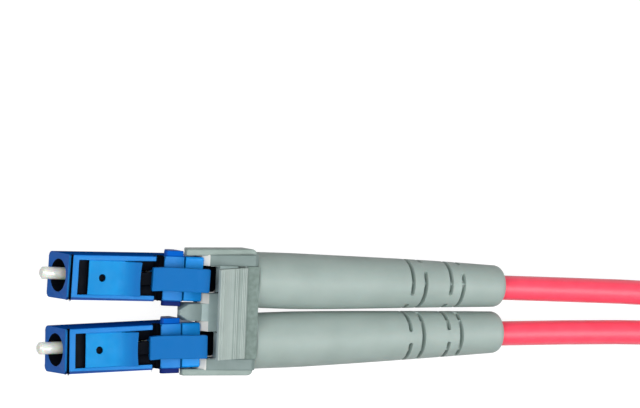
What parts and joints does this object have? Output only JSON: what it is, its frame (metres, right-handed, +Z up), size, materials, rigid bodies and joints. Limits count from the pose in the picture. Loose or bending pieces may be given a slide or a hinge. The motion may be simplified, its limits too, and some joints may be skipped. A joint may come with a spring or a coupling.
{
  "type": "duplex fibre connector",
  "caption": "Two small latching fibre plugs in a duplex clip with a trigger, tapered boots and coiled cords.",
  "frame": {"origin": "on the resting surface, under the middle of the connector's length, without its cords", "axes": "+X from the ferrules towards the cords, +Y across both plugs, +Z up through the trigger"},
  "size_m": [0.1171, 0.0336, 0.0194],
  "materials": {
    "blue_plastic": "smooth moulded",
    "grey_plastic": "fine satin moulded",
    "grey_rubber": "satin moulded",
    "zirconia_ceramic": "ground and polished",
    "plated_brass": "nickel plated",
    "spring_steel": "drawn",
    "crimp_metal": "plain",
    "fibre_buffer": "smooth",
    "cord_jacket": "smooth satin",
    "tie_fabric": "woven hook and loop"
  },
  "bodies": {
    "connector": {"plug_housing_a": "blue_plastic", "rear_body_a": "blue_plastic", "crimp_sleeve_a": "crimp_metal", "buffered_fibre_a": "fibre_buffer", "boot_a": "grey_rubber", "cord_a": "cord_jacket", "plug_housing_b": "blue_plastic", "rear_body_b": "blue_plastic", "crimp_sleeve_b": "crimp_metal", "buffered_fibre_b": "fibre_buffer", "boot_b": "grey_rubber", "cord_b": "cord_jacket", "clip_body": "grey_plastic", "cord_coil": "cord_jacket", "coil_tie_1": "tie_fabric", "coil_tie_2": "tie_fabric"},
    "trigger": {"clip_trigger": "grey_plastic"},
    "latch_a": {"latch_arm_a": "blue_plastic"},
    "ferrule_unit_a": {"ferrule_a": "zirconia_ceramic", "ferrule_flange_a": "plated_brass", "ferrule_spring_a": "spring_steel"},
    "latch_b": {"latch_arm_b": "blue_plastic"},
    "ferrule_unit_b": {"ferrule_b": "zirconia_ceramic", "ferrule_flange_b": "plated_brass", "ferrule_spring_b": "spring_steel"}
  },
  "joints": [
    {"name": "trigger_press", "type": "hinge", "parent": "connector", "child": "trigger", "pos_m": [-0.00487, 0, 0.0062], "axis": [0, -1, 0], "range_deg": [0, 18], "stiffness_Nm_per_rad": 0.002},
    {"name": "latch_a_press", "type": "hinge", "parent": "connector", "child": "latch_a", "pos_m": [-0.01776, 0.00357, 0.00472], "axis": [0.03, 0.9995, 0], "range_deg": [0, 7]},
    {"name": "latch_b_press", "type": "hinge", "parent": "connector", "child": "latch_b", "pos_m": [-0.01776, -0.00357, 0.00472], "axis": [-0.03, 0.9995, 0], "range_deg": [0, 7]},
    {"name": "ferrule_a_push", "type": "slide", "parent": "connector", "child": "ferrule_unit_a", "axis": [0.9995, -0.03, 0], "range_m": [0, 0.0009], "stiffness_N_per_m": 2000, "deforming": ["ferrule_spring_a"]},
    {"name": "ferrule_b_push", "type": "slide", "parent": "connector", "child": "ferrule_unit_b", "axis": [0.9995, 0.03, 0], "range_m": [0, 0.0009], "stiffness_N_per_m": 2000, "deforming": ["ferrule_spring_b"]}
  ],
  "couplings": [
    {"joint": "latch_a_press", "follows": "trigger_press", "ratio": 0.38889},
    {"joint": "latch_b_press", "follows": "trigger_press", "ratio": 0.38889}
  ]
}
